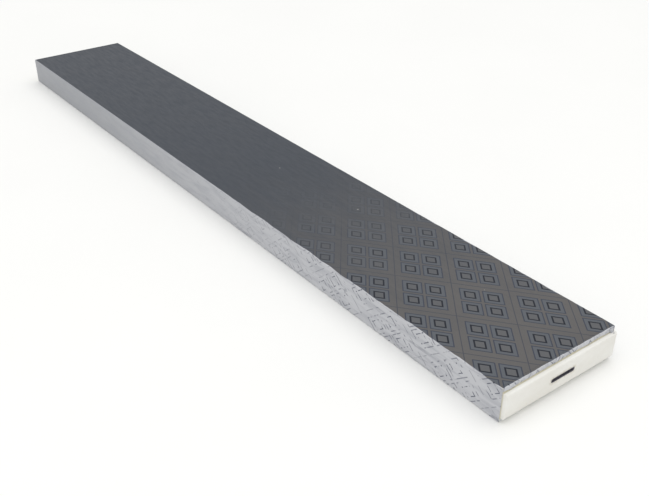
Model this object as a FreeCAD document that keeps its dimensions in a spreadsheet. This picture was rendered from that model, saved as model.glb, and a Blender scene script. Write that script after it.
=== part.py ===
import FreeCAD, Part
import Sketcher
import math
import os
import re

# Insulated sandwich panel for a cold room: two thin steel skins round a core of hard foam, with a
# tongue on one end, a groove on the other, and a cam lock let into each.  It lies on its back face.
# +X runs along the panel towards the tongue, +Y across it, +Z up through its thickness.
# The origin is on the floor below the middle of the whole length, tongue included.  Millimetres, degrees.

sizes = {
    # the panel
    "panel_thickness": 100,
    "panel_width": 400,
    "body_length": 2800,  # between the two ends of the skins, without the tongue
    # the folded steel
    "skin_thickness": 0.6,
    "skin_bend": 2,  # outside radius of every fold
    "return_flange": 9.5,  # how far each skin turns in over the ends
    "edge_lip": 16,  # how far the face skin turns in under the back skin
    # the tongue, and the room that the groove leaves for it
    "tongue_thickness": 72,
    "tongue_length": 12,
    "tongue_bevel": 3,
    "tongue_inset": 1.5,  # from the steel of the long edges
    "groove_side_gap": 0.5,
    "groove_end_gap": 1,
    # the hook: a plate that turns about its hub, from rest in its case to round the next panel's pin
    "pivot_depth": 26,  # behind the face of the tongue
    "pivot_offset": 14,  # from the panel's middle line
    "hook_thickness": 6,
    "hook_outer_radius": 52,
    "hook_arm_width": 8,  # where the closed hook bears on the pin
    "hook_arm_angle": 75,
    "hook_rest_angle": 160,
    "hook_swing_angle": 145,
    "draw_offset": 9,  # of the inner curve's centre from the pivot, so that turning draws the pin in
    "draw_angle": 120,
    "hook_tip_rounding": 2,
    "hook_root_rounding": 6,
    "hub_radius": 11,
    "hub_side_gap": 0.3,
    "journal_radius": 8,
    "journal_gap": 0.05,
    "journal_recess": 0.3,
    "key_socket_flats": 8,
    "key_hole_radius": 7,
    # the two lock cases, with room for the hook to swing
    "slot_width": 10,
    "case_wall": 1.5,
    "hook_swing_gap": 3,
    "hook_case_spare": 2.5,
    "pin_case_spare": 17.5,
    # the pin that the next panel's hook draws on
    "pin_radius": 4,
    "pin_gap": 0.05,
}

doc = FreeCAD.newDocument("SandwichPanel")
sheet = doc.addObject("Spreadsheet::Sheet", "Sizes")
for row, (name, value) in enumerate(sizes.items(), start=1):
    sheet.set(f"A{row}", name)
    sheet.set(f"B{row}", str(value))
    sheet.setAlias(f"B{row}", name)
doc.recompute()

# places along the panel, and heights through it, that several pieces share
back_end = "-(body_length + tongue_length) / 2"
front_end = "(body_length - tongue_length) / 2"
tongue_face = "(body_length + tongue_length) / 2"
groove_floor = f"{back_end} + tongue_length + groove_end_gap"
half_width = "panel_width / 2"
inner_half_width = f"{half_width} - skin_thickness"
mid_height = "panel_thickness / 2"
tongue_low = f"{mid_height} - tongue_thickness / 2"
tongue_high = f"{mid_height} + tongue_thickness / 2"
groove_low = f"{tongue_low} - groove_side_gap"
groove_high = f"{tongue_high} + groove_side_gap"
pivot_x = f"{tongue_face} - pivot_depth"
# the hook swings past one end of the slot, and the slot is as long on the other side of the middle
slot_half_length = "hook_outer_radius - pivot_offset + hook_swing_gap"
case_half_length = f"{slot_half_length} + case_wall"
case_half_thickness = "slot_width / 2 + case_wall"
hook_case_depth = "pivot_depth + hook_outer_radius + hook_case_spare + case_wall"
pin_case_depth = "hook_outer_radius - pivot_depth - groove_end_gap + pin_case_spare + case_wall"
# a neighbour's tongue fills all but the end gap of the groove, and its hook closes on the pin
mated_tongue_face = f"{back_end} + tongue_length"
bearing_radius = "hook_outer_radius - hook_arm_width"
pin_reach = f"{bearing_radius} - pin_radius - pivot_depth"
pin_x = f"{mated_tongue_face} + {pin_reach}"


def bound(text):
    """Turns a formula in plain size names into one that reads the sheet."""
    return re.sub(r"[a-z_]+", lambda word: f"Sizes.{word[0]}" if word[0] in sizes else word[0], text)


def number(text):
    return float(sheet.evalExpression(bound(text)))


def tie(thing, target, text):
    thing.setExpression(target, bound(text))


# ---------------------------------------------------------------- sketching and features
def new_body(label, x="0", y="0", z="0"):
    body = doc.addObject("PartDesign::Body", label)
    body.Label = label
    for axis, text in zip("xyz", (x, y, z)):
        tie(body, f"Placement.Base.{axis}", text)
    return body


def plane_of(body, role):
    """One of the body's own planes or axes."""
    return next(f for f in body.Origin.OriginFeatures if f.Role == role)


def new_sketch(body, name, plane_role, offset="0"):
    """A sketch on one of the body's own planes, moved along that plane's normal."""
    sketch = body.newObject("Sketcher::SketchObject", name)
    sketch.AttachmentSupport = (plane_of(body, plane_role), "")
    sketch.MapMode = "FlatFace"
    tie(sketch, "AttachmentOffset.Base.z", offset)
    return sketch


def pin_point(sketch, geometry, vertex, x, y):
    """Ties a vertex of the sketch to two formulas."""
    for kind, text in (("DistanceX", x), ("DistanceY", y)):
        index = sketch.addConstraint(
            Sketcher.Constraint(kind, -1, 1, geometry, vertex, number(text))
        )
        tie(sketch, f"Constraints[{index}]", text)


def polygon(sketch, corners):
    points = [FreeCAD.Vector(number(x), number(y), 0) for x, y in corners]
    first = sketch.GeometryCount
    count = len(points)
    for i, point in enumerate(points):
        sketch.addGeometry(Part.LineSegment(point, points[(i + 1) % count]), False)
    for i in range(count):
        following = first + (i + 1) % count
        sketch.addConstraint(Sketcher.Constraint("Coincident", first + i, 2, following, 1))
        pin_point(sketch, first + i, 1, *corners[i])


def rectangle(sketch, left, right, low, high):
    polygon(sketch, [(left, low), (right, low), (right, high), (left, high)])


def circle(sketch, x, y, radius):
    centre = FreeCAD.Vector(number(x), number(y), 0)
    geometry = sketch.addGeometry(Part.Circle(centre, FreeCAD.Vector(0, 0, 1), number(radius)), False)
    pin_point(sketch, geometry, 3, x, y)
    index = sketch.addConstraint(Sketcher.Constraint("Radius", geometry, number(radius)))
    tie(sketch, f"Constraints[{index}]", radius)


def feature(body, kind, name, sketch, length, reverse=False, symmetric=False):
    made = body.newObject(f"PartDesign::{kind}", name)
    made.Profile = sketch
    made.Reversed = reverse
    made.Midplane = symmetric
    tie(made, "Length", length)
    doc.recompute()
    return made


def dress(body, kind, name, base, wanted, **formulas):
    """Fillets or chamfers the edges of the base that pass the wanted test."""
    edges = [f"Edge{i}" for i, edge in enumerate(base.Shape.Edges, start=1) if wanted(edge)]
    made = body.newObject(f"PartDesign::{kind}", name)
    made.Base = (base, edges)
    for target, text in formulas.items():
        tie(made, target, text)
    doc.recompute()
    return made


def runs_along(edge, axis):
    """True for a straight edge parallel to the axis."""
    if len(edge.Vertexes) != 2:
        return False
    span = edge.Vertexes[1].Point - edge.Vertexes[0].Point
    return abs(span.Length - edge.Length) < 1e-6 and span.cross(axis).Length < 1e-6


def near(value, text):
    return abs(value - number(text)) < 1e-4


along = FreeCAD.Vector(1, 0, 0)
across = FreeCAD.Vector(0, 1, 0)
upward = FreeCAD.Vector(0, 0, 1)


# ---------------------------------------------------------------- the skins
def make_face_skin():
    """The printed face: one sheet folded down over both long edges and a little way over the ends."""
    body = new_body("face_skin")
    lip_top = "2 * skin_thickness"
    lip_edge = f"{half_width} - edge_lip"
    under_face = "panel_thickness - skin_thickness"
    channel = new_sketch(body, "FaceChannelSection", "YZ_Plane", back_end)
    polygon(channel, [
        (f"-({half_width})", "skin_thickness"),
        (f"-({lip_edge})", "skin_thickness"),
        (f"-({lip_edge})", lip_top),
        (f"-({inner_half_width})", lip_top),
        (f"-({inner_half_width})", under_face),
        (inner_half_width, under_face),
        (inner_half_width, lip_top),
        (lip_edge, lip_top),
        (lip_edge, "skin_thickness"),
        (half_width, "skin_thickness"),
        (half_width, "panel_thickness"),
        (f"-({half_width})", "panel_thickness"),
    ])
    sheet_run = feature(body, "Pad", "FaceChannel", channel, "body_length")
    outer = dress(
        body, "Fillet", "OuterBends", sheet_run,
        lambda edge: runs_along(edge, along) and near(abs(edge.CenterOfMass.y), half_width),
        Radius="skin_bend",
    )
    inner = dress(
        body, "Fillet", "InnerBends", outer,
        lambda edge: runs_along(edge, along) and near(abs(edge.CenterOfMass.y), inner_half_width),
        Radius="skin_bend - skin_thickness",
    )

    # the corners are relieved for the fold of the ends, and the lips stop short of the back skin's fold
    bend_edge = f"{half_width} - skin_bend"
    relief = new_sketch(body, "CornerReliefs", "XY_Plane", "panel_thickness")
    lip_ends = new_sketch(body, "LipEnds", "XY_Plane", "skin_thickness + skin_bend")
    for side in ("", "-"):
        for outside, inside in (
            (back_end, f"{back_end} + skin_bend"),
            (front_end, f"{front_end} - skin_bend"),
        ):
            rectangle(relief, outside, inside, f"{side}({bend_edge})", f"{side}({half_width})")
            rectangle(lip_ends, outside, inside, f"{side}({lip_edge})", f"{side}({bend_edge})")
    feature(body, "Pocket", "CornerRelief", relief, "skin_bend")
    trimmed = feature(body, "Pocket", "LipEnd", lip_ends, "skin_bend")

    add_returns(body, "Face", trimmed, "panel_thickness - return_flange", "panel_thickness", bend_edge)
    return body


def add_returns(body, name, base, low, high, half_span):
    """Turns a skin over both ends of the panel with a short flange."""
    for end, place, inward in (("Back", back_end, False), ("Front", front_end, True)):
        flange = new_sketch(body, f"{name}{end}ReturnSection", "YZ_Plane", place)
        rectangle(flange, f"-({half_span})", half_span, low, high)
        base = feature(body, "Pad", f"{name}{end}Return", flange, "skin_thickness", reverse=inward)
    skin_level = high if name == "Face" else low
    base = dress(
        body, "Fillet", f"{name}ReturnOuterBends", base,
        lambda edge: runs_along(edge, across)
        and near(edge.CenterOfMass.z, skin_level)
        and (near(edge.CenterOfMass.x, back_end) or near(edge.CenterOfMass.x, front_end))
        and edge.Length > number(half_span),
        Radius="skin_bend",
    )
    step = "-" if name == "Face" else "+"
    inside_level = f"{skin_level} {step} skin_thickness"
    return dress(
        body, "Fillet", f"{name}ReturnInnerBends", base,
        lambda edge: runs_along(edge, across)
        and near(edge.CenterOfMass.z, inside_level)
        and (
            near(edge.CenterOfMass.x, f"{back_end} + skin_thickness")
            or near(edge.CenterOfMass.x, f"{front_end} - skin_thickness")
        ),
        Radius="skin_bend - skin_thickness",
    )


def make_back_skin():
    """The plain back: a flat sheet over the face skin's lips, turned up a little way over the ends."""
    body = new_body("back_skin")
    half_span = f"{half_width} - skin_bend"
    outline = new_sketch(body, "BackSheetOutline", "XY_Plane")
    rectangle(outline, back_end, front_end, f"-({half_span})", half_span)
    circle(outline, pivot_x, "pivot_offset", "key_hole_radius")
    flat = feature(body, "Pad", "BackSheet", outline, "skin_thickness")
    add_returns(body, "Back", flat, "0", "return_flange", half_span)
    return body


# ---------------------------------------------------------------- the core
def make_foam_core():
    body = new_body("foam_core")
    top = "panel_thickness - skin_thickness"
    back_inside = f"{back_end} + skin_thickness"
    front_inside = f"{front_end} - skin_thickness"
    low_flange = "return_flange"
    high_flange = "panel_thickness - return_flange"
    section = new_sketch(body, "CoreSection", "XZ_Plane")
    polygon(section, [
        (back_inside, "skin_thickness"),
        (front_inside, "skin_thickness"),
        (front_inside, low_flange),
        (front_end, low_flange),
        (front_end, tongue_low),
        (f"{tongue_face} - tongue_bevel", tongue_low),
        (tongue_face, f"{tongue_low} + tongue_bevel"),
        (tongue_face, f"{tongue_high} - tongue_bevel"),
        (f"{tongue_face} - tongue_bevel", tongue_high),
        (front_end, tongue_high),
        (front_end, high_flange),
        (front_inside, high_flange),
        (front_inside, top),
        (back_inside, top),
        (back_inside, high_flange),
        (back_end, high_flange),
        (back_end, groove_high),
        (groove_floor, groove_high),
        (groove_floor, groove_low),
        (back_end, groove_low),
        (back_end, low_flange),
        (back_inside, low_flange),
    ])
    block = feature(body, "Pad", "CoreBlock", section, f"2 * ({inner_half_width})", symmetric=True)

    # the core fills the inside of every fold
    fold_inside = "skin_bend - skin_thickness"
    dress(
        body, "Fillet", "EndRounding", block,
        lambda edge: runs_along(edge, across)
        and (near(edge.CenterOfMass.z, top) or near(edge.CenterOfMass.z, "skin_thickness")),
        Radius=fold_inside,
    )

    # rebates for the face skin's lips, along both long edges
    lips = new_sketch(body, "LipRebates", "YZ_Plane", front_end)
    for side in ("", "-"):
        lip_edge = f"{side}({half_width} - edge_lip)"
        rectangle(lips, lip_edge, f"{side}({half_width})", "0", "2 * skin_thickness")
    rebated = feature(body, "Pocket", "LipRebate", lips, "body_length")

    dress(
        body, "Fillet", "LongEdgeRounding", rebated,
        lambda edge: runs_along(edge, along)
        and near(abs(edge.CenterOfMass.y), inner_half_width)
        and (near(edge.CenterOfMass.z, top) or near(edge.CenterOfMass.z, "2 * skin_thickness")),
        Radius=fold_inside,
    )

    # the tongue stops short of the steel of the long edges, and its corners are taken off there too
    tongue_half_span = f"{inner_half_width} - tongue_inset"
    inset = new_sketch(body, "TongueInset", "YZ_Plane", tongue_face)
    for side in ("", "-"):
        tongue_edge = f"{side}({tongue_half_span})"
        rectangle(inset, tongue_edge, f"{side}({half_width})", "0", "panel_thickness")
    shortened = feature(body, "Pocket", "TongueEnds", inset, "tongue_length")
    bevelled = dress(
        body, "Chamfer", "TongueCorners", shortened,
        lambda edge: runs_along(edge, upward)
        and near(edge.CenterOfMass.x, tongue_face)
        and near(abs(edge.CenterOfMass.y), tongue_half_span),
        Size="tongue_bevel",
    )

    # the lock cases are foamed in, and the key reaches the hook's hub from the back
    hook_seat = new_sketch(body, "HookCaseSeat", "YZ_Plane", tongue_face)
    stadium(hook_seat, case_half_length, case_half_thickness)
    feature(body, "Pocket", "HookCasePocket", hook_seat, hook_case_depth)
    pin_seat = new_sketch(body, "PinCaseSeat", "YZ_Plane", groove_floor)
    stadium(pin_seat, case_half_length, case_half_thickness)
    feature(body, "Pocket", "PinCasePocket", pin_seat, pin_case_depth, reverse=True)
    key_hole = new_sketch(body, "KeyHole", "XY_Plane")
    circle(key_hole, pivot_x, "pivot_offset", "key_hole_radius")
    feature(body, "Pocket", "KeyHoleBore", key_hole, f"{mid_height} - slot_width / 2", reverse=True)
    return body


# ---------------------------------------------------------------- the cam locks
def stadium(sketch, half_length, half_height):
    """A slot with round ends, lengthwise along Y, round the middle of the panel's thickness."""
    half = number(half_height)
    reach = number(half_length) - half
    low = number(mid_height) - half
    high = number(mid_height) + half
    quarter = math.pi / 2
    point = FreeCAD.Vector
    right = Part.Circle(point(reach, number(mid_height), 0), upward, half)
    left = Part.Circle(point(-reach, number(mid_height), 0), upward, half)
    right_end = sketch.addGeometry(Part.ArcOfCircle(right, -quarter, quarter), False)
    top = sketch.addGeometry(Part.LineSegment(point(reach, high, 0), point(-reach, high, 0)), False)
    left_end = sketch.addGeometry(Part.ArcOfCircle(left, quarter, 3 * quarter), False)
    bottom = sketch.addGeometry(Part.LineSegment(point(-reach, low, 0), point(reach, low, 0)), False)
    for one, other in ((right_end, top), (top, left_end), (left_end, bottom), (bottom, right_end)):
        sketch.addConstraint(Sketcher.Constraint("Tangent", one, 2, other, 1))
    radius = sketch.addConstraint(Sketcher.Constraint("Radius", right_end, half))
    tie(sketch, f"Constraints[{radius}]", half_height)
    pin_point(sketch, right_end, 3, f"{half_length} - ({half_height})", mid_height)
    place = sketch.addConstraint(Sketcher.Constraint("DistanceX", -1, 1, left_end, 3, -reach))
    tie(sketch, f"Constraints[{place}]", f"{half_height} - ({half_length})")


def make_lock_case(label, mouth, depth, hole_x, hole_radius, inward):
    """A flat steel case with round edges, open at its mouth, with a hole through both broad walls."""
    body = new_body(label)
    outside = new_sketch(body, "CaseOutside", "YZ_Plane", mouth)
    stadium(outside, case_half_length, case_half_thickness)
    feature(body, "Pad", "CaseBlock", outside, depth, reverse=inward < 0)
    inside = new_sketch(body, "CaseInside", "YZ_Plane", mouth)
    stadium(inside, slot_half_length, "slot_width / 2")
    feature(body, "Pocket", "CaseHollow", inside, f"{depth} - case_wall", reverse=inward > 0)
    holes = new_sketch(body, "PivotHoles", "XY_Plane", "panel_thickness")
    circle(holes, hole_x, "pivot_offset", hole_radius)
    feature(body, "Pocket", "PivotHole", holes, "panel_thickness")
    return body


def make_lock_hook():
    """The hook turns about its own Z axis: its spoke starts along +X and its arm runs on from there.

    The arm's inner curve is a circle about a point beside the pivot, so the arm is thickest at the
    spoke and thins towards the tip, and the hook draws on the pin as it closes.
    """
    body = new_body("lock_hook", pivot_x, "pivot_offset", mid_height)
    body.Placement.Rotation = FreeCAD.Rotation(upward, sizes["hook_rest_angle"])
    tie(body, "Placement.Rotation.Angle", "hook_rest_angle")
    half_plate = "hook_thickness / 2"
    half_hub = "slot_width / 2 - hub_side_gap"
    half_journal = f"{case_half_thickness} - journal_recess"

    arm_section = new_sketch(body, "ArmSection", "XZ_Plane")
    rectangle(arm_section, "hub_radius", "hook_outer_radius", f"-({half_plate})", half_plate)
    arm = body.newObject("PartDesign::Revolution", "Arm")
    arm.Profile = arm_section
    arm.ReferenceAxis = (plane_of(body, "Z_Axis"), [""])
    tie(arm, "Angle", "hook_arm_angle")
    doc.recompute()

    # the closed hook meets the pin at this angle from its own spoke, which fixes the inner curve
    bearing_angle = "360 - hook_rest_angle - hook_swing_angle"
    draw_radius = (
        f"sqrt(({bearing_radius}) ^ 2 + draw_offset ^ 2"
        f" - 2 * ({bearing_radius}) * draw_offset * cos(1 deg * ({bearing_angle} - draw_angle)))"
    )
    inner_curve = new_sketch(body, "InnerCurve", "XY_Plane", half_plate)
    circle(
        inner_curve,
        "draw_offset * cos(1 deg * draw_angle)",
        "draw_offset * sin(1 deg * draw_angle)",
        draw_radius,
    )
    feature(body, "Pocket", "InnerCut", inner_curve, "hook_thickness")

    spoke = new_sketch(body, "SpokeOutline", "XY_Plane", f"-({half_plate})")
    rectangle(spoke, "0", bearing_radius, "0", "hub_radius")
    feature(body, "Pad", "Spoke", spoke, "hook_thickness")
    hub = new_sketch(body, "HubOutline", "XY_Plane", f"-({half_plate})")
    circle(hub, "0", "0", "hub_radius")
    plate = feature(body, "Pad", "HubPlate", hub, "hook_thickness")

    tip_angle = math.radians(number("hook_arm_angle"))
    tipped = dress(
        body, "Fillet", "TipRounding", plate,
        lambda edge: runs_along(edge, upward)
        and abs(math.atan2(edge.CenterOfMass.y, edge.CenterOfMass.x) - tip_angle) < 1e-4,
        Radius="hook_tip_rounding",
    )
    dress(
        body, "Fillet", "RootRounding", tipped,
        lambda edge: runs_along(edge, upward)
        and near(edge.CenterOfMass.y, "hub_radius")
        and edge.CenterOfMass.x > number("hub_radius"),
        Radius="hook_root_rounding",
    )

    boss = new_sketch(body, "BossOutline", "XY_Plane", f"-({half_hub})")
    circle(boss, "0", "0", "hub_radius")
    feature(body, "Pad", "Boss", boss, f"2 * ({half_hub})")
    journal = new_sketch(body, "JournalOutline", "XY_Plane", f"-({half_journal})")
    circle(journal, "0", "0", "journal_radius")
    feature(body, "Pad", "Journals", journal, f"2 * ({half_journal})")
    socket = new_sketch(body, "KeySocket", "XY_Plane", half_journal)
    hexagon(socket, "key_socket_flats")
    feature(body, "Pocket", "KeySocketBore", socket, f"2 * ({half_journal})")
    return body


def hexagon(sketch, flats):
    """A regular hexagon about the origin, by its width across flats."""
    corner = f"{flats} / sqrt(3)"
    polygon(sketch, [
        (f"{corner} * cos({60 * i} deg)", f"{corner} * sin({60 * i} deg)") for i in range(6)
    ])


def make_lock_pin():
    pin = doc.addObject("Part::Cylinder", "lock_pin")
    pin.Label = "lock_pin"
    tie(pin, "Radius", "pin_radius")
    tie(pin, "Height", f"2 * ({case_half_thickness})")
    tie(pin, "Placement.Base.x", pin_x)
    tie(pin, "Placement.Base.y", "pivot_offset")
    tie(pin, "Placement.Base.z", f"{mid_height} - ({case_half_thickness})")
    return pin


pieces = [
    make_face_skin(),
    make_back_skin(),
    make_foam_core(),
    make_lock_case("hook_case", tongue_face, hook_case_depth, pivot_x, "journal_radius + journal_gap", -1),
    make_lock_hook(),
    make_lock_case("pin_case", groove_floor, pin_case_depth, pin_x, "pin_radius + pin_gap", 1),
    make_lock_pin(),
]
doc.recompute()

for thing in doc.Objects:
    if "Invalid" in thing.State or "Error" in thing.State:
        raise RuntimeError(f"{thing.Name} did not build")
for piece in pieces:
    if piece.Shape.isNull() or not piece.Shape.isValid() or len(piece.Shape.Solids) != 1:
        raise RuntimeError(f"{piece.Label} is not one sound solid")

os.makedirs("parts", exist_ok=True)
for piece in pieces:
    piece.Shape.exportStep(f"parts/{piece.Label}.step")
    print(piece.Label, round(piece.Shape.Volume / 1000, 2), "cm3")
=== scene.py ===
import bmesh
import bpy
import math
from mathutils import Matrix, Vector, noise


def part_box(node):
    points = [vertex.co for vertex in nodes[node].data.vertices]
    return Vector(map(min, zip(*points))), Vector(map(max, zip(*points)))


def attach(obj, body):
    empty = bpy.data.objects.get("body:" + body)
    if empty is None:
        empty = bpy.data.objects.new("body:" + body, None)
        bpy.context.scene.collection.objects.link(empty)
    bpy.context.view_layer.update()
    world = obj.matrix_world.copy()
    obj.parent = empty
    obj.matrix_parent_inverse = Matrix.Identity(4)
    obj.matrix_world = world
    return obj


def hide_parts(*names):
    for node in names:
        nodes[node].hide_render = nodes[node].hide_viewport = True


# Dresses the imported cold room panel: the printed film on its face skin, the moulded foam core,
# the plain back skin and the two cam locks.  Metres, +X towards the tongue, +Z is the printed face.

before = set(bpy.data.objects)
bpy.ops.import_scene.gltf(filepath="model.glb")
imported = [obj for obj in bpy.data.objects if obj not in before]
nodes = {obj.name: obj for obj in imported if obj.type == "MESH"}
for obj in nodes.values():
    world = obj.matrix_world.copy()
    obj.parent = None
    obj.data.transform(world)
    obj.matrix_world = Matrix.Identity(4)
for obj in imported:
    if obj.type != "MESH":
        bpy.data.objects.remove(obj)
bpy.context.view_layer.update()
skinLow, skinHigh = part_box("face_skin")
coreLow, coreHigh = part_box("foam_core")
caseLow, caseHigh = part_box("hook_case")
middleX = (skinLow.x + skinHigh.x) / 2
foldRadius = 0.002  # outside radius of every fold in the face skin
foldArc = foldRadius * math.pi / 2
# how far the face runs flat from its middle, across and along, before the folds
faceHalf = skinHigh.y - foldRadius
faceEnd = (skinHigh.x - skinLow.x) / 2 - foldRadius
# where someone has knocked the face: along, across, reach, depth
knocks = [(0.159, 0.044, 0.007, 0.00045), (0.544, 0.070, 0.008, 0.00045), (1.089, 0.057, 0.004, 0.0003)]
print("frame loaded:", ", ".join(sorted(nodes)))


def stopsBetween(start, end, step):
    count = max(1, round(abs(end - start) / step))
    return [start + (end - start) * i / count for i in range(1, count + 1)]


# grows a line of vertices along one axis and gives its edges
def drawRow(bm, start, axis, stops):
    vertex = bm.verts.new(start)
    edges = []
    for stop in stops:
        grown = bmesh.ops.extrude_vert_indiv(bm, verts=[vertex])
        vertex = grown["verts"][0]
        vertex.co[axis] = stop
        edges += grown["edges"]
    return edges


# pulls a row of edges through the stops and gives the last row
def pullSheet(bm, edges, axis, stops):
    for stop in stops:
        grown = bmesh.ops.extrude_edge_only(bm, edges=edges)["geom"]
        for part in grown:
            if isinstance(part, bmesh.types.BMVert):
                part.co[axis] = stop
        edges = [part for part in grown if isinstance(part, bmesh.types.BMEdge)]
    return edges


def smoothStep(low, high, value):
    t = min(1, max(0, (value - low) / (high - low)))
    return t * t * (3 - 2 * t)


def wave(x, y, seed):
    return noise.noise(Vector((x, y, seed)))


# how far out and down a point of the flat blank comes to lie, by its distance past the fold's start
def walkFold(run, wallRun):
    if run <= foldArc:
        turn = run / foldRadius
        return foldRadius * math.sin(turn), foldRadius * (1 - math.cos(turn))
    if run <= foldArc + wallRun:
        return foldRadius, foldRadius + run - foldArc
    run -= foldArc + wallRun
    if run <= foldArc:
        turn = run / foldRadius
        return foldRadius * math.cos(turn), foldRadius + wallRun + foldRadius * math.sin(turn)
    return foldArc - run, 2 * foldRadius + wallRun


# remembers each corner's place on the flat blank, which the print follows round the folds
def layBlank(bm, flatPlace):
    layer = bm.loops.layers.uv.new("blank")
    for face in bm.faces:
        for loop in face.loops:
            loop[layer].uv = flatPlace(loop.vert.co)


def makePiece(bm, name, material):
    mesh = bpy.data.meshes.new(name)
    bm.to_mesh(mesh)
    bm.free()
    for face in mesh.polygons:
        face.use_smooth = True
    piece = bpy.data.objects.new(name, mesh)
    bpy.context.scene.collection.objects.link(piece)
    mesh.materials.append(material)
    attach(piece, "panel")
    return piece


def giveThickness(piece, thickness):
    wall = piece.modifiers.new("thickness", "SOLIDIFY")
    wall.thickness = thickness
    wall.offset = -1


# a colour as seen on screen, from 0 to 255, made linear
def screen(red, green, blue):
    def linear(share):
        return share / 12.92 if share < 0.0405 else ((share + 0.055) / 1.055) ** 2.4

    return linear(red / 255), linear(green / 255), linear(blue / 255), 1


def newMaterial(name):
    material = bpy.data.materials.new(name)
    material.use_nodes = True
    tree = material.node_tree
    tree.nodes.clear()
    shader = tree.nodes.new("ShaderNodeBsdfPrincipled")
    output = tree.nodes.new("ShaderNodeOutputMaterial")
    tree.links.new(shader.outputs["BSDF"], output.inputs["Surface"])
    return material, tree, shader


def plug(tree, socket, value):
    if isinstance(value, bpy.types.NodeSocket):
        tree.links.new(value, socket)
    elif value is not None:
        socket.default_value = value


def calc(tree, operation, first, second=None, third=None):
    node = tree.nodes.new("ShaderNodeMath")
    node.operation = operation
    for socket, value in zip(node.inputs, (first, second, third)):
        plug(tree, socket, value)
    return node.outputs[0]


def less(tree, value, amount):
    return calc(tree, "SUBTRACT", value, amount)


def times(tree, *values):
    result = values[0]
    for value in values[1:]:
        result = calc(tree, "MULTIPLY", result, value)
    return result


def highest(tree, *values):
    result = values[0]
    for value in values[1:]:
        result = calc(tree, "MAXIMUM", result, value)
    return result


def ease(tree, value, low, high, toLow=0.0, toHigh=1.0):
    node = tree.nodes.new("ShaderNodeMapRange")
    node.interpolation_type = "SMOOTHSTEP"
    for socket, number in zip(node.inputs, (value, low, high, toLow, toHigh)):
        plug(tree, socket, number)
    return node.outputs[0]


# 1 along a line where the value is the middle, fading to 0 at this reach beside it
def lineAt(tree, value, middle, reach):
    gap = calc(tree, "ABSOLUTE", less(tree, value, middle))
    return ease(tree, gap, reach * 0.55, reach, 1.0, 0.0)


# how far a point is from where both values are 0
def awayFrom(tree, first, second):
    return calc(tree, "SQRT", calc(tree, "ADD", times(tree, first, first), times(tree, second, second)))


def blendColours(tree, amount, first, second):
    node = tree.nodes.new("ShaderNodeMix")
    node.data_type = "RGBA"
    plug(tree, node.inputs["Factor"], amount)
    plug(tree, node.inputs[6], first)
    plug(tree, node.inputs[7], second)
    return node.outputs[2]


def objectPlace(tree):
    return tree.nodes.new("ShaderNodeTexCoord").outputs["Object"]


def stretch(tree, place, scale):
    node = tree.nodes.new("ShaderNodeMapping")
    plug(tree, node.inputs["Vector"], place)
    node.inputs["Scale"].default_value = scale
    return node.outputs[0]


def splitPlace(tree, place):
    node = tree.nodes.new("ShaderNodeSeparateXYZ")
    tree.links.new(place, node.inputs[0])
    return node.outputs


def cloud(tree, place, scale, detail=3.0, roughness=0.5):
    node = tree.nodes.new("ShaderNodeTexNoise")
    plug(tree, node.inputs["Vector"], place)
    node.inputs["Scale"].default_value = scale
    node.inputs["Detail"].default_value = detail
    node.inputs["Roughness"].default_value = roughness
    return node.outputs["Fac"]


# noise drawn out along or across the sheet
def streaky(tree, place, alongScale, acrossScale, detail=2.0, roughness=0.5):
    return cloud(tree, stretch(tree, place, (alongScale, acrossScale, 1)), 1.0, detail, roughness)


# distance from the nearest of many scattered points, in cells
def scatter(tree, place, scale):
    node = tree.nodes.new("ShaderNodeTexVoronoi")
    plug(tree, node.inputs["Vector"], place)
    node.inputs["Scale"].default_value = scale
    return node.outputs["Distance"]


def bumpFrom(tree, height, strength, distance, under=None):
    node = tree.nodes.new("ShaderNodeBump")
    node.inputs["Strength"].default_value = strength
    node.inputs["Distance"].default_value = distance
    plug(tree, node.inputs["Height"], height)
    plug(tree, node.inputs["Normal"], under)
    return node.outputs[0]


# the film is printed in groups of four square cells, each a thick ring inside a thin one
printedFilm = {
    "repeatAlong": 0.2356,  # from one group to the next
    "repeatAcross": 0.1884,
    "groupAt": (1.248, 0.104),
    "cellOffset": 0.2015,  # this and the next nine, to cellSoftness, are shares of the repeat
    "outerRing": 0.169,
    "outerLine": 0.0135,
    "innerRing": 0.0875,
    "innerLine": 0.0190,
    "bandLine": 0.010,
    "paleEdgeLine": 0.0100,  # of the thick ring past the folds
    "paleEdgeCorner": 0.0150,
    "cornerRounding": 0.006,
    "cellSoftness": 0.006,
    "registerDrift": 0.006,
    "fadeFrom": 0.28,  # the print fades towards the groove end
    "fadeTo": 1.02,
    # the face is painted dark as a reflection, lighter at the tongue end, darker and bluer at the groove end
    "faceDarkReflectionNear": screen(92, 90, 89),
    "faceDarkReflectionFar": screen(60, 65, 73),
    "faceGrime": screen(66, 68, 72),
    "cellTint": screen(84, 90, 98),
    "thinInk": screen(36, 46, 66),
    "thickInk": screen(8, 15, 30),
    "fleck": screen(150, 150, 148),
    # past the folds: pale steel with painted reflection, lighter at the tongue end, and its print
    "paleReflectionNear": screen(193, 194, 198),
    "paleReflectionFar": screen(162, 164, 168),
    # painted shade in the film's crumples and along its creases
    "paleCrumpleShade": screen(158, 160, 167),
    "paleCreaseShade": screen(126, 128, 138),
    "paleEdgeInk": screen(44, 52, 76),
}


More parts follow.
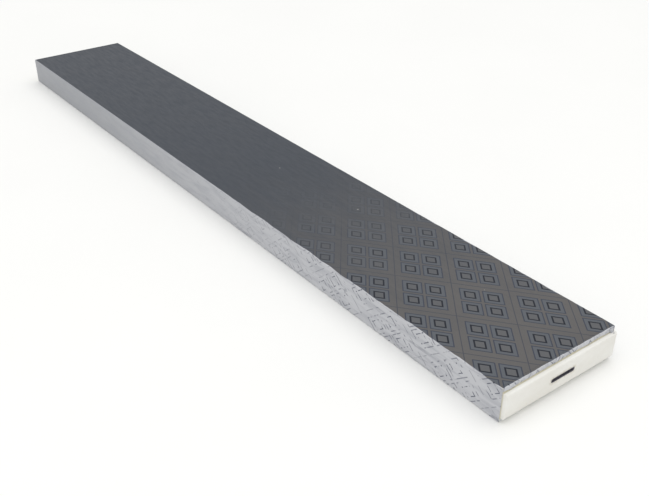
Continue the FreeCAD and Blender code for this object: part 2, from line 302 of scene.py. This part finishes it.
# 1 past the folds, where the face's painted dark reflection gives way to the pale steel's lighter painted
# reflection, along a border that wanders near the tongue end
def edgeReflectionMask(tree, place):
    along, across, _ = splitPlace(tree, place)
    fromMiddle = calc(tree, "ABSOLUTE", less(tree, along, middleX))
    overSide = less(tree, calc(tree, "ABSOLUTE", across), faceHalf)
    overEnd = less(tree, fromMiddle, faceEnd)
    wander = ease(tree, along, -0.2, 1.0, 0.001, 0.012)
    sideWander = times(tree, less(tree, streaky(tree, place, 13, 20), 0.5), wander)
    endWander = times(tree, less(tree, streaky(tree, place, 20, 40), 0.5), 0.005)
    past = highest(tree, calc(tree, "ADD", overSide, sideWander), calc(tree, "ADD", overEnd, endWander))
    return ease(tree, past, -0.0007, 0.0009)


# where a point lies in the lattice of cells, and the lines that are printed there
def printedLines(tree, place):
    look = printedFilm
    along, across, _ = splitPlace(tree, place)
    groupAlong, groupAcross = look["groupAt"]
    drift = cloud(tree, place, 3.0, 1.0)
    fromGroup = less(tree, along, groupAlong + look["registerDrift"] / 2)
    u = calc(tree, "MULTIPLY_ADD", drift, look["registerDrift"], fromGroup)
    uShare = calc(tree, "DIVIDE", u, look["repeatAlong"])
    vShare = calc(tree, "DIVIDE", less(tree, across, groupAcross), look["repeatAcross"])
    ways = [
        calc(tree, "PINGPONG", calc(tree, "ADD", uShare, vShare), 0.5),
        calc(tree, "PINGPONG", calc(tree, "SUBTRACT", uShare, vShare), 0.5),
    ]
    fromCell = [calc(tree, "ABSOLUTE", less(tree, way, look["cellOffset"])) for way in ways]
    ring = calc(tree, "SMOOTH_MAX", fromCell[0], fromCell[1], look["cornerRounding"])
    return {
        "fromCell": fromCell,
        "ring": ring,
        "outer": lineAt(tree, ring, look["outerRing"], look["outerLine"]),
        "inner": lineAt(tree, ring, look["innerRing"], look["innerLine"]),
        "band": highest(tree, *[lineAt(tree, way, 0.5, look["bandLine"]) for way in ways]),
    }


# the face: a painted dark reflection, darker and bluer towards the groove end, with faint streaks along it,
# grime, the print and a little dust
def faceDarkReflectionColour(tree, place, lines):
    look = printedFilm
    along, across, _ = splitPlace(tree, place)
    streaks = less(tree, streaky(tree, place, 2.4, 32, 4.0, 0.6), 0.5)
    farness = calc(tree, "MULTIPLY_ADD", streaks, 0.5, along)
    face = blendColours(tree, ease(tree, farness, 0.1, 1.25, 1.0, 0.0), look["faceDarkReflectionNear"], look["faceDarkReflectionFar"])
    smudge = cloud(tree, place, 6.0, 5.0, 0.62)
    face = blendColours(tree, ease(tree, smudge, 0.35, 0.75, 0.0, 0.22), face, look["faceGrime"])

    # the print fades towards the far end, in patches
    patches = less(tree, streaky(tree, place, 4.4, 10, 3.0), 0.5)
    faded = calc(tree, "MULTIPLY_ADD", patches, 0.5, along)
    kept = ease(tree, faded, look["fadeFrom"], look["fadeTo"], 0.03, 1.0)
    soft = look["cellSoftness"]
    cell = ease(tree, lines["ring"], look["outerRing"] - soft, look["outerRing"] + soft, 1.0, 0.0)
    tint = ease(tree, lines["ring"], look["innerRing"] - 0.01, look["innerRing"], 0.35, 0.75)
    dust = ease(tree, scatter(tree, place, 9.0), 0.010, 0.018, 0.5, 0.0)
    for amount, colour in (
        (times(tree, cell, kept, tint), "cellTint"),
        (times(tree, lines["band"], kept, 0.60), "thinInk"),
        (times(tree, lines["outer"], kept, 0.74), "thinInk"),
        (times(tree, lines["inner"], kept, 0.97), "thickInk"),
        (dust, "fleck"),
    ):
        face = blendColours(tree, amount, face, look[colour])
    # a light spot at the middle of each knock
    for knockAlong, knockAcross, reach, _ in knocks:
        away = awayFrom(tree, less(tree, along, knockAlong), less(tree, across, knockAcross))
        face = blendColours(tree, ease(tree, away, reach * 0.2, reach * 0.5, 0.75, 0.0), face, look["fleck"])
    return face


# past the folds the pale steel is made lighter with painted reflection, darker towards the groove end, with
# painted shade in streaks and creases; its print's lines are faint and broken, but their corners stay
def paleEdgeReflectionColour(tree, place, lines):
    look = printedFilm
    along = splitPlace(tree, place)[0]
    thin = lineAt(tree, lines["ring"], look["innerRing"], look["paleEdgeLine"])
    faint = times(tree, lines["outer"], 0.62)
    drawn = highest(tree, times(tree, thin, 0.95), faint, times(tree, lines["band"], 0.5))
    unbroken = ease(tree, streaky(tree, place, 46, 60, 1.0), 0.47, 0.55)
    corners = [lineAt(tree, gap, look["innerRing"], look["paleEdgeCorner"]) for gap in lines["fromCell"]]
    corners = times(tree, *corners, ease(tree, streaky(tree, place, 30, 30), 0.4, 0.5))
    marks = highest(tree, times(tree, drawn, unbroken), corners)
    marks = times(tree, marks, ease(tree, along, 0.0, 0.9, 0.06, 1.0))

    paleReflection = blendColours(tree, ease(tree, along, -1.1, 0.9), look["paleReflectionFar"], look["paleReflectionNear"])
    # painted shade: darker streaks where the film crumples and thin darker lines along its creases
    shaded = ease(tree, streaky(tree, place, 9, 55, 4.0, 0.6), 0.42, 0.68, 0.0, 0.55)
    paleReflection = blendColours(tree, shaded, paleReflection, look["paleCrumpleShade"])
    creaseShadeSpread = ease(tree, streaky(tree, place, 7, 9), 0.45, 0.6)
    crease = lineAt(tree, streaky(tree, place, 3.5, 36, 2.0), 0.5, 0.012)
    crease = times(tree, crease, ease(tree, along, -0.6, 1.0, 0.05, 0.5), creaseShadeSpread)
    paleReflection = blendColours(tree, crease, paleReflection, look["paleCreaseShade"])
    return blendColours(tree, times(tree, marks, 0.9), paleReflection, look["paleEdgeInk"])


def makePrintedFilm():
    material, tree, shader = newMaterial("printed film on steel")
    blank = tree.nodes.new("ShaderNodeUVMap")
    blank.uv_map = "blank"
    place = blank.outputs[0]
    # loose is 1 where the face's painted dark reflection gives way to the edges' lighter painted reflection
    loose = edgeReflectionMask(tree, place)
    lines = printedLines(tree, place)
    faceDarkReflecting, paleEdgeReflecting = faceDarkReflectionColour(tree, place, lines), paleEdgeReflectionColour(tree, place, lines)
    tree.links.new(blendColours(tree, loose, faceDarkReflecting, paleEdgeReflecting), shader.inputs["Base Color"])
    rub = streaky(tree, place, 15, 78, 5.0, 0.65)
    gloss = calc(tree, "MULTIPLY_ADD", loose, 0.04, ease(tree, rub, 0.25, 0.8, 0.36, 0.54))
    tree.links.new(gloss, shader.inputs["Roughness"])
    shader.inputs["Specular IOR Level"].default_value = 0.25
    ripple = bumpFrom(tree, streaky(tree, place, 12, 60, 3.0), 0.25, 0.0006)
    grain = bumpFrom(tree, cloud(tree, place, 900.0, 2.0), 0.12, 0.0001, ripple)
    tree.links.new(grain, shader.inputs["Normal"])
    return material


filmMaterial = makePrintedFilm()
print("printed film ready")

# the face skin in its film: a flat blank, folded over the long edges and the ends
faceSheet = {
    "thickness": 0.0006,
    "flangeDepth": 0.0095,  # over each end
    "lipWidth": 0.016,  # in under the back skin
    "foldSteps": 4,
    "faceStep": 0.011,
    "besideFold": 0.008,  # this much of the face is divided more finely
    "fineStep": 0.002,
    "wallStep": 0.0042,
    "lipStep": 0.005,
    "lengthStep": 0.009,
    "knockCuts": 4,
    "roundKnock": 0.009,  # so much more than a knock's own reach is divided
    "edgeDent": (0.13, 0.50, 0.187, 0.0006),  # a long dent beside the fold: from, to, across, depth
}


def makeFaceSheet():
    sheet = faceSheet
    wallRun = skinHigh.z - skinLow.z - 2 * foldRadius
    wallEnd = faceHalf + foldArc + wallRun
    foldStep = foldArc / sheet["foldSteps"]

    # half the blank's width, from the middle of the face to the rim of the lip
    fineFrom = faceHalf - sheet["besideFold"]
    half = stopsBetween(0, fineFrom, sheet["faceStep"])
    half += stopsBetween(fineFrom, faceHalf, sheet["fineStep"])
    half += stopsBetween(faceHalf, faceHalf + foldArc, foldStep)
    half += stopsBetween(faceHalf + foldArc, wallEnd, sheet["wallStep"])
    half += stopsBetween(wallEnd, wallEnd + foldArc, foldStep)
    lipEnd = wallEnd + foldArc + sheet["lipWidth"] - foldRadius
    half += stopsBetween(wallEnd + foldArc, lipEnd, sheet["lipStep"])
    across = [-stop for stop in reversed(half)] + [0] + half

    bm = bmesh.new()
    first = drawRow(bm, (-faceEnd, across[0], 0), 1, across[1:])
    last = pullSheet(bm, first, 0, stopsBetween(-faceEnd, faceEnd, sheet["lengthStep"]))

    # the ends of the face fold over, and the walls run straight on to the same length
    def middleOf(edge):
        return abs(edge.verts[0].co.y + edge.verts[1].co.y) / 2

    flangeEnd = faceEnd + foldArc + sheet["flangeDepth"] - foldRadius
    turned = stopsBetween(faceEnd, faceEnd + foldArc, foldStep)
    turned += stopsBetween(faceEnd + foldArc, flangeEnd, sheet["fineStep"])
    for row, side in ((first, -1), (last, 1)):
        returns = [edge for edge in row if middleOf(edge) < faceHalf]
        walls = [edge for edge in row if faceHalf + foldArc < middleOf(edge) < wallEnd]
        pullSheet(bm, returns, 0, [side * stop for stop in turned])
        pullSheet(bm, walls, 0, [side * (faceEnd + foldRadius)])

    for vertex in bm.verts:
        vertex.co.x += middleX
    bm.normal_update()
    bmesh.ops.reverse_faces(bm, faces=[face for face in bm.faces if face.normal.z < 0])

    for knockAlong, knockAcross, reach, _ in knocks:
        middle = Vector((knockAlong, knockAcross, 0))
        reach += sheet["roundKnock"]
        near = [face for face in bm.faces if (face.calc_center_median() - middle).length < reach]
        edges = list({edge for face in near for edge in face.edges})
        bmesh.ops.subdivide_edges(bm, edges=edges, cuts=sheet["knockCuts"], use_grid_fill=True)

    layBlank(bm, lambda point: point.xy)

    blank = {vertex: vertex.co.xy for vertex in bm.verts}
    for vertex, flat in blank.items():
        u, v = flat.x - middleX, flat.y
        overSide, overEnd = abs(v) - faceHalf, abs(u) - faceEnd
        down = 0
        if overSide > 1e-7:
            out, down = walkFold(overSide, wallRun)
            vertex.co.y = math.copysign(faceHalf + out, v)
        elif overEnd > 1e-7:
            out, down = walkFold(overEnd, 1)
            vertex.co.x = middleX + math.copysign(faceEnd + out, u)
        vertex.co.z = skinHigh.z - down
    bm.normal_update()

    for vertex, flat in blank.items():
        past = abs(flat.y) - faceHalf
        if past > 0:
            vertex.co += vertex.normal * creaseLift(flat.x, flat.y, past, wallEnd - faceHalf)
        else:
            vertex.co += vertex.normal * faceLift(flat.x, flat.y)
    piece = makePiece(bm, "filmed_face_skin", filmMaterial)
    giveThickness(piece, sheet["thickness"])
    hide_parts("face_skin")
    return piece


# how far the face stands off its true place: slight waves, knocks and one long dent
def faceLift(u, v):
    lift = 0.00012 * wave(u * 2.6, v * 9, 1.3) - 0.00006
    for along, across, reach, depth in knocks:
        lift -= depth * (1 - smoothStep(0, reach, math.hypot(u - along, v - across)))
    start, end, across, depth = faceSheet["edgeDent"]
    inside = smoothStep(start, start + 0.06, u) * (1 - smoothStep(end - 0.06, end, u))
    return lift - depth * inside * math.exp(-(((v - across) / 0.005) ** 2))


# the film's own creases over the long edges, mostly inwards and more of them towards the tongue end
filmCreases = {
    "soft": 0.0006,
    "sharp": 0.0009,
    "inward": 0.0003,
    "deepest": 0.00045,  # less than the steel is thick
    "farShare": 0.3,
}


def creaseLift(u, v, past, wallBottom):
    crease = filmCreases
    freedom = smoothStep(0.0, 0.006, past) * (1 - smoothStep(wallBottom - 0.004, wallBottom, past))
    freedom *= crease["farShare"] + (1 - crease["farShare"]) * smoothStep(-0.4, 1.2, u)
    bend = v + 0.012 * wave(u * 3, 0, 5.5)
    soft = wave(u * 2.2, bend * 34, 3.1)
    sharp = max(0, 1 - 5 * abs(wave(u * 1.8, bend * 42, 7.7))) ** 2
    lift = crease["soft"] * soft + crease["sharp"] * sharp - crease["inward"]
    return freedom * max(-crease["deepest"], lift)


faceSkin = makeFaceSheet()
print("face skin folded:", len(faceSkin.data.polygons), "faces before its thickness")

# the film's loose rims over both ends, left where the cutter tore it
filmRims = {
    "thickness": 0.00012,
    "startInside": 0.006,  # on the face, before the fold
    "hangs": 0.0085,  # past the fold
    "frayed": 0.0035,
    "standsOff": {1: 0.0014, -1: 0.0003},  # more at the tongue end
    "rowStep": 0.0028,
    "hangStep": 0.0014,
    "shortOfFold": 0.001,  # at both long edges
}


def makeFilmRim(side, name):
    rim = filmRims
    reach = faceHalf - rim["shortOfFold"]
    full = foldArc + rim["hangs"]
    bm = bmesh.new()
    row = drawRow(bm, (-rim["startInside"], -reach, 0), 1, stopsBetween(-reach, reach, rim["rowStep"]))
    overFold = stopsBetween(0, foldArc, foldArc / faceSheet["foldSteps"])
    pullSheet(bm, row, 0, [0] + overFold + stopsBetween(foldArc, full, rim["hangStep"]))
    for vertex in bm.verts:  # the free border is torn unevenly
        tear = 0.7 * wave(vertex.co.y * 26, side, 2.2) + 0.3 * wave(vertex.co.y * 110, side, 8.8) - 0.15
        vertex.co.x += rim["frayed"] * tear * smoothStep(foldArc, full, vertex.co.x)
    layBlank(bm, lambda point: (middleX + side * (faceEnd + point.x), point.y))
    for vertex in bm.verts:
        run, v = vertex.co.x, vertex.co.y
        out, down = walkFold(run, 1) if run > 0 else (run, 0)
        buckle = max(0, 0.45 + wave(v * 32, run * 70, side + 3.7))
        off = 0.00015 + rim["standsOff"][side] * smoothStep(0, full, run) * buckle
        tilt = min(1, max(0, run / foldArc)) * math.pi / 2  # lifts upwards on the face, outwards below
        vertex.co.x = middleX + side * (faceEnd + out + off * math.sin(tilt))
        vertex.co.z = skinHigh.z - down + off * math.cos(tilt) * 0.4
    bm.normal_update()
    inward = [face for face in bm.faces if face.normal.z + side * face.normal.x < 0]
    bmesh.ops.reverse_faces(bm, faces=inward)
    giveThickness(makePiece(bm, name, filmMaterial), rim["thickness"])


# a strip torn off the rim at the corner: it hangs down the end, then rolls outwards and up
filmCurl = {
    "thickness": 0.00024,
    "length": 0.021,
    "width": 0.013,
    "hangs": 0.009,
    "rollRadius": 0.0042,
    "standsOut": 0.0004,
    "slope": 0.12,  # of the part that hangs, away from the end
    "leansAcross": 0.35,
    "frayed": 0.0016,
    "topAt": (1.3955, 0.184, 0.0985),
}


def makeFilmCurl():
    curl = filmCurl
    topAt = Vector(curl["topAt"])
    bm = bmesh.new()
    bmesh.ops.create_grid(bm, x_segments=14, y_segments=8, size=0.5)
    for vertex in bm.verts:
        narrowing = 1 - 0.65 * smoothStep(-0.1, 0.5, vertex.co.x)
        vertex.co.x = (vertex.co.x + 0.5) * curl["length"]
        vertex.co.y *= curl["width"] * narrowing
        vertex.co.y += curl["frayed"] * wave(vertex.co.x * 180, 0, 1.1)
    layBlank(bm, lambda point: (topAt.x + point.x, topAt.y + point.y))
    for vertex in bm.verts:
        run, v = vertex.co.x, vertex.co.y
        out, down = curl["standsOut"] + run * curl["slope"], run
        if run > curl["hangs"]:
            radius = curl["rollRadius"] * (1 + 0.4 * wave(v * 300, run * 90, 6.1))
            turn = (run - curl["hangs"]) / radius
            out += radius * (1 - math.cos(turn)) * 0.8 - curl["slope"] * (run - curl["hangs"])
            down = curl["hangs"] + radius * math.sin(turn)
        vertex.co = topAt + Vector((out, v + down * curl["leansAcross"], -down))
    giveThickness(makePiece(bm, "torn_film_curl", filmMaterial), curl["thickness"])


makeFilmRim(1, "film_rim_tongue_end")
makeFilmRim(-1, "film_rim_groove_end")
makeFilmCurl()
print("loose film hung")

# the hard foam: cream on the tongue, darker and yellower behind it with painted shade, grimy round the slots
foam = {
    "cream": screen(226, 224, 217),
    "pale": screen(233, 232, 227),
    "shoulderShade": screen(202, 197, 175),
    "stain": screen(176, 166, 134),
    "pit": screen(198, 193, 172),
    "slotRounding": 0.006,
}


def makeFoam():
    material, tree, shader = newMaterial("moulded hard foam")
    place = objectPlace(tree)
    x, y, z = splitPlace(tree, place)
    broad = cloud(tree, stretch(tree, place, (8, 3, 8)), 1.5, 4.0, 0.6)
    fine = cloud(tree, place, 90.0, 4.0, 0.6)
    colour = blendColours(tree, ease(tree, broad, 0.35, 0.7), foam["cream"], foam["pale"])
    # painted shade: darker and yellower behind the tongue's face and round the root of its sides
    shoulderShade = ease(tree, x, skinHigh.x - 0.0005, skinHigh.x + 0.004, 1.0, 0.0)
    colour = blendColours(tree, shoulderShade, colour, foam["shoulderShade"])
    overSlot = less(tree, z, (caseLow.z + caseHigh.z) / 2)
    besideSlot = less(tree, calc(tree, "ABSOLUTE", y), caseHigh.y - foam["slotRounding"])
    fromSlot = awayFrom(tree, overSlot, highest(tree, besideSlot, 0.0))
    grime = times(tree, ease(tree, fromSlot, 0.006, 0.016, 0.5, 0.0), ease(tree, fine, 0.35, 0.65))
    colour = blendColours(tree, grime, colour, foam["stain"])
    pits = ease(tree, cloud(tree, place, 210.0, 2.0), 0.72, 0.78, 0.0, 0.5)
    colour = blendColours(tree, pits, colour, foam["pit"])
    tree.links.new(colour, shader.inputs["Base Color"])
    tree.links.new(ease(tree, fine, 0.3, 0.7, 0.55, 0.75), shader.inputs["Roughness"])
    shader.inputs["Specular IOR Level"].default_value = 0.3
    wavy = bumpFrom(tree, broad, 0.3, 0.002)
    tree.links.new(bumpFrom(tree, fine, 0.25, 0.0006, wavy), shader.inputs["Normal"])
    return material


foamMaterial = makeFoam()

# the core as moulded: the faces of its two ends are a little uneven, and their edges chipped
foamEnds = {
    "step": 0.005,  # between the cuts that let an end go uneven
    "cutDepth": 0.020,
    "looseDepth": 0.0115,  # how far in from each end the foam may move
    "unevenness": 0.00025,
    "chips": 0.0016,
    "chipReach": 0.007,
    "halfTongue": (0.1986, 0.036),  # across and up from its middle
    "roundSlot": 0.012,  # the foam here stays as it is
}


def makeFoamCore():
    ends = foamEnds
    middle = (coreLow + coreHigh) / 2
    halfWidth, halfHeight = ends["halfTongue"]
    bm = bmesh.new()
    bm.from_mesh(nodes["foam_core"].data)
    bmesh.ops.remove_doubles(bm, verts=bm.verts, dist=1e-6)
    bmesh.ops.dissolve_limit(bm, angle_limit=math.radians(1), verts=bm.verts, edges=bm.edges)

    def fromEnd(place):
        return min(coreHigh.x - place.x, place.x - coreLow.x)

    def endGeometry():
        faces = [face for face in bm.faces if fromEnd(face.calc_center_median()) < ends["cutDepth"]]
        edges = {edge for face in faces for edge in face.edges}
        return faces + list(edges) + list({vertex for edge in edges for vertex in edge.verts})

    for normal in (Vector((0, 1, 0)), Vector((0, 0, 1))):
        for stop in stopsBetween(coreLow.dot(normal), coreHigh.dot(normal), ends["step"])[:-1]:
            bmesh.ops.bisect_plane(bm, geom=endGeometry(), plane_co=normal * stop, plane_no=normal, dist=1e-6)
    bm.normal_update()
    for vertex in bm.verts:
        place = vertex.co - middle
        besideSlot = math.hypot(max(0, abs(place.y) - caseHigh.y), place.z)
        if fromEnd(vertex.co) > ends["looseDepth"] or besideSlot < ends["roundSlot"]:
            continue
        inward = math.copysign(1, -place.x)
        fromEdge = min(halfWidth - abs(place.y), halfHeight - abs(place.z))
        chance = wave(place.y * 55, place.z * 55 + place.x * 40, 9.1)
        chance += 0.4 * wave(place.y * 140, place.z * 140, 4.2)
        worn = ends["chips"] * max(0, chance) * (1 - smoothStep(0, ends["chipReach"], fromEdge))
        uneven = ends["unevenness"] * abs(wave(place.y * 18, (place.z + middle.z) * 30, 3.3))
        vertex.co.x += inward * (0.6 * worn + uneven)
        vertex.co.z -= 0.8 * worn * place.z / halfHeight
    piece = makePiece(bm, "moulded_foam_core", foamMaterial)
    piece.data.set_sharp_from_angle(angle=math.radians(32))
    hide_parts("foam_core")
    return piece


foamCore = makeFoamCore()
print("foam core uneven at its ends:", len(foamCore.data.polygons), "faces")

# the plain back skin and the locks keep their own shapes
metals = {
    "backPaint": screen(214, 216, 215),
    "backShade": screen(196, 199, 200),
    "lockZinc": screen(150, 148, 156),
    "lockDull": screen(104, 102, 110),
    "hookPlate": screen(132, 130, 138),
    "hookDull": screen(84, 83, 90),
    "zincSpangle": 160.0,
    "hookSpangle": 220.0,
}


def makeBackPaint():
    material, tree, shader = newMaterial("plain coated steel")
    place = objectPlace(tree)
    soft = cloud(tree, stretch(tree, place, (1.5, 6, 6)), 3.0, 4.0)
    colour = blendColours(tree, ease(tree, soft, 0.35, 0.7), metals["backPaint"], metals["backShade"])
    tree.links.new(colour, shader.inputs["Base Color"])
    tree.links.new(ease(tree, soft, 0.3, 0.7, 0.34, 0.5), shader.inputs["Roughness"])
    tree.links.new(bumpFrom(tree, cloud(tree, place, 900.0, 2.0), 0.1, 0.0001), shader.inputs["Normal"])
    return material


def makeZinc(name, bright, dull, spangleScale):
    material, tree, shader = newMaterial(name)
    spangle = cloud(tree, objectPlace(tree), spangleScale, 4.0, 0.6)
    colour = blendColours(tree, ease(tree, spangle, 0.35, 0.7), bright, dull)
    tree.links.new(colour, shader.inputs["Base Color"])
    tree.links.new(ease(tree, spangle, 0.3, 0.7, 0.35, 0.6), shader.inputs["Roughness"])
    shader.inputs["Metallic"].default_value = 0.7
    tree.links.new(bumpFrom(tree, spangle, 0.15, 0.0003), shader.inputs["Normal"])
    return material


finishes = {
    "back_skin": makeBackPaint(),
    "hook_case": makeZinc("zinc lock case", metals["lockZinc"], metals["lockDull"], metals["zincSpangle"]),
    "lock_hook": makeZinc("plated hook", metals["hookPlate"], metals["hookDull"], metals["hookSpangle"]),
}
finishes["pin_case"] = finishes["hook_case"]
finishes["lock_pin"] = finishes["lock_hook"]
for nodeName, finish in finishes.items():
    nodes[nodeName].data.materials.clear()
    nodes[nodeName].data.materials.append(finish)
print("back skin and locks finished")

# floor, light and camera
studio = {
    "floorSize": 60,
    "floorColour": screen(244, 244, 242),
    "floorShade": screen(240, 240, 238),
    "air": 0.72,
    "sun": 1.12,
    "sunSpread": 80,  # degrees, so that shadows are soft
    "sunAt": (0.2, 0.3, 5.0),
    "frontPower": 32,
    "frontSize": 4.0,
    "frontAt": (4.5, -3.5, 2.6),
    "frontAim": (0.5, 0, 0),
    "heading": 37,  # the camera looks this many degrees off the panel's length
    "lookDown": 31,
    "lens": 48,
    "distance": 2.55,
    "aimAt": (0.60, -0.10, 0.05),
}


def addAimed(name, data, where, target):
    holder = bpy.data.objects.new(name, data)
    bpy.context.scene.collection.objects.link(holder)
    holder.location = where
    holder.rotation_euler = (Vector(target) - Vector(where)).to_track_quat("-Z", "Y").to_euler()
    return holder


def makeFloor():
    bm = bmesh.new()
    bmesh.ops.create_grid(bm, x_segments=2, y_segments=2, size=studio["floorSize"] / 2)
    mesh = bpy.data.meshes.new("floor")
    bm.to_mesh(mesh)
    bm.free()
    floor = bpy.data.objects.new("floor", mesh)
    bpy.context.scene.collection.objects.link(floor)
    material, tree, shader = newMaterial("pale floor")
    soft = ease(tree, cloud(tree, objectPlace(tree), 1.3, 3.0), 0.3, 0.7, 0.0, 0.3)
    colour = blendColours(tree, soft, studio["floorColour"], studio["floorShade"])
    tree.links.new(colour, shader.inputs["Base Color"])
    shader.inputs["Roughness"].default_value = 0.9
    shader.inputs["Specular IOR Level"].default_value = 0.1
    mesh.materials.append(material)


def makeLights():
    sun = bpy.data.lights.new("high sun", "SUN")
    sun.energy = studio["sun"]
    sun.angle = math.radians(studio["sunSpread"])
    addAimed("high sun", sun, studio["sunAt"], (0, 0, 0))
    front = bpy.data.lights.new("front light", "AREA")
    front.energy = studio["frontPower"]
    front.size = studio["frontSize"]
    addAimed("front light", front, studio["frontAt"], studio["frontAim"])
    world = bpy.data.worlds.new("studio air")
    world.use_nodes = True
    world.node_tree.nodes["Background"].inputs["Color"].default_value = (1, 1, 1, 1)
    world.node_tree.nodes["Background"].inputs["Strength"].default_value = studio["air"]
    bpy.context.scene.world = world


def makeCamera():
    heading, down = math.radians(studio["heading"]), math.radians(studio["lookDown"])
    level = math.cos(down)
    looks = Vector((-math.cos(heading) * level, math.sin(heading) * level, -math.sin(down)))
    aimAt = Vector(studio["aimAt"])
    data = bpy.data.cameras.new("camera")
    data.lens = studio["lens"]
    bpy.context.scene.camera = addAimed("camera", data, aimAt - looks * studio["distance"], aimAt)


makeFloor()
makeLights()
makeCamera()
bpy.context.scene.view_settings.view_transform = "Standard"
print("floor, lights and camera set")
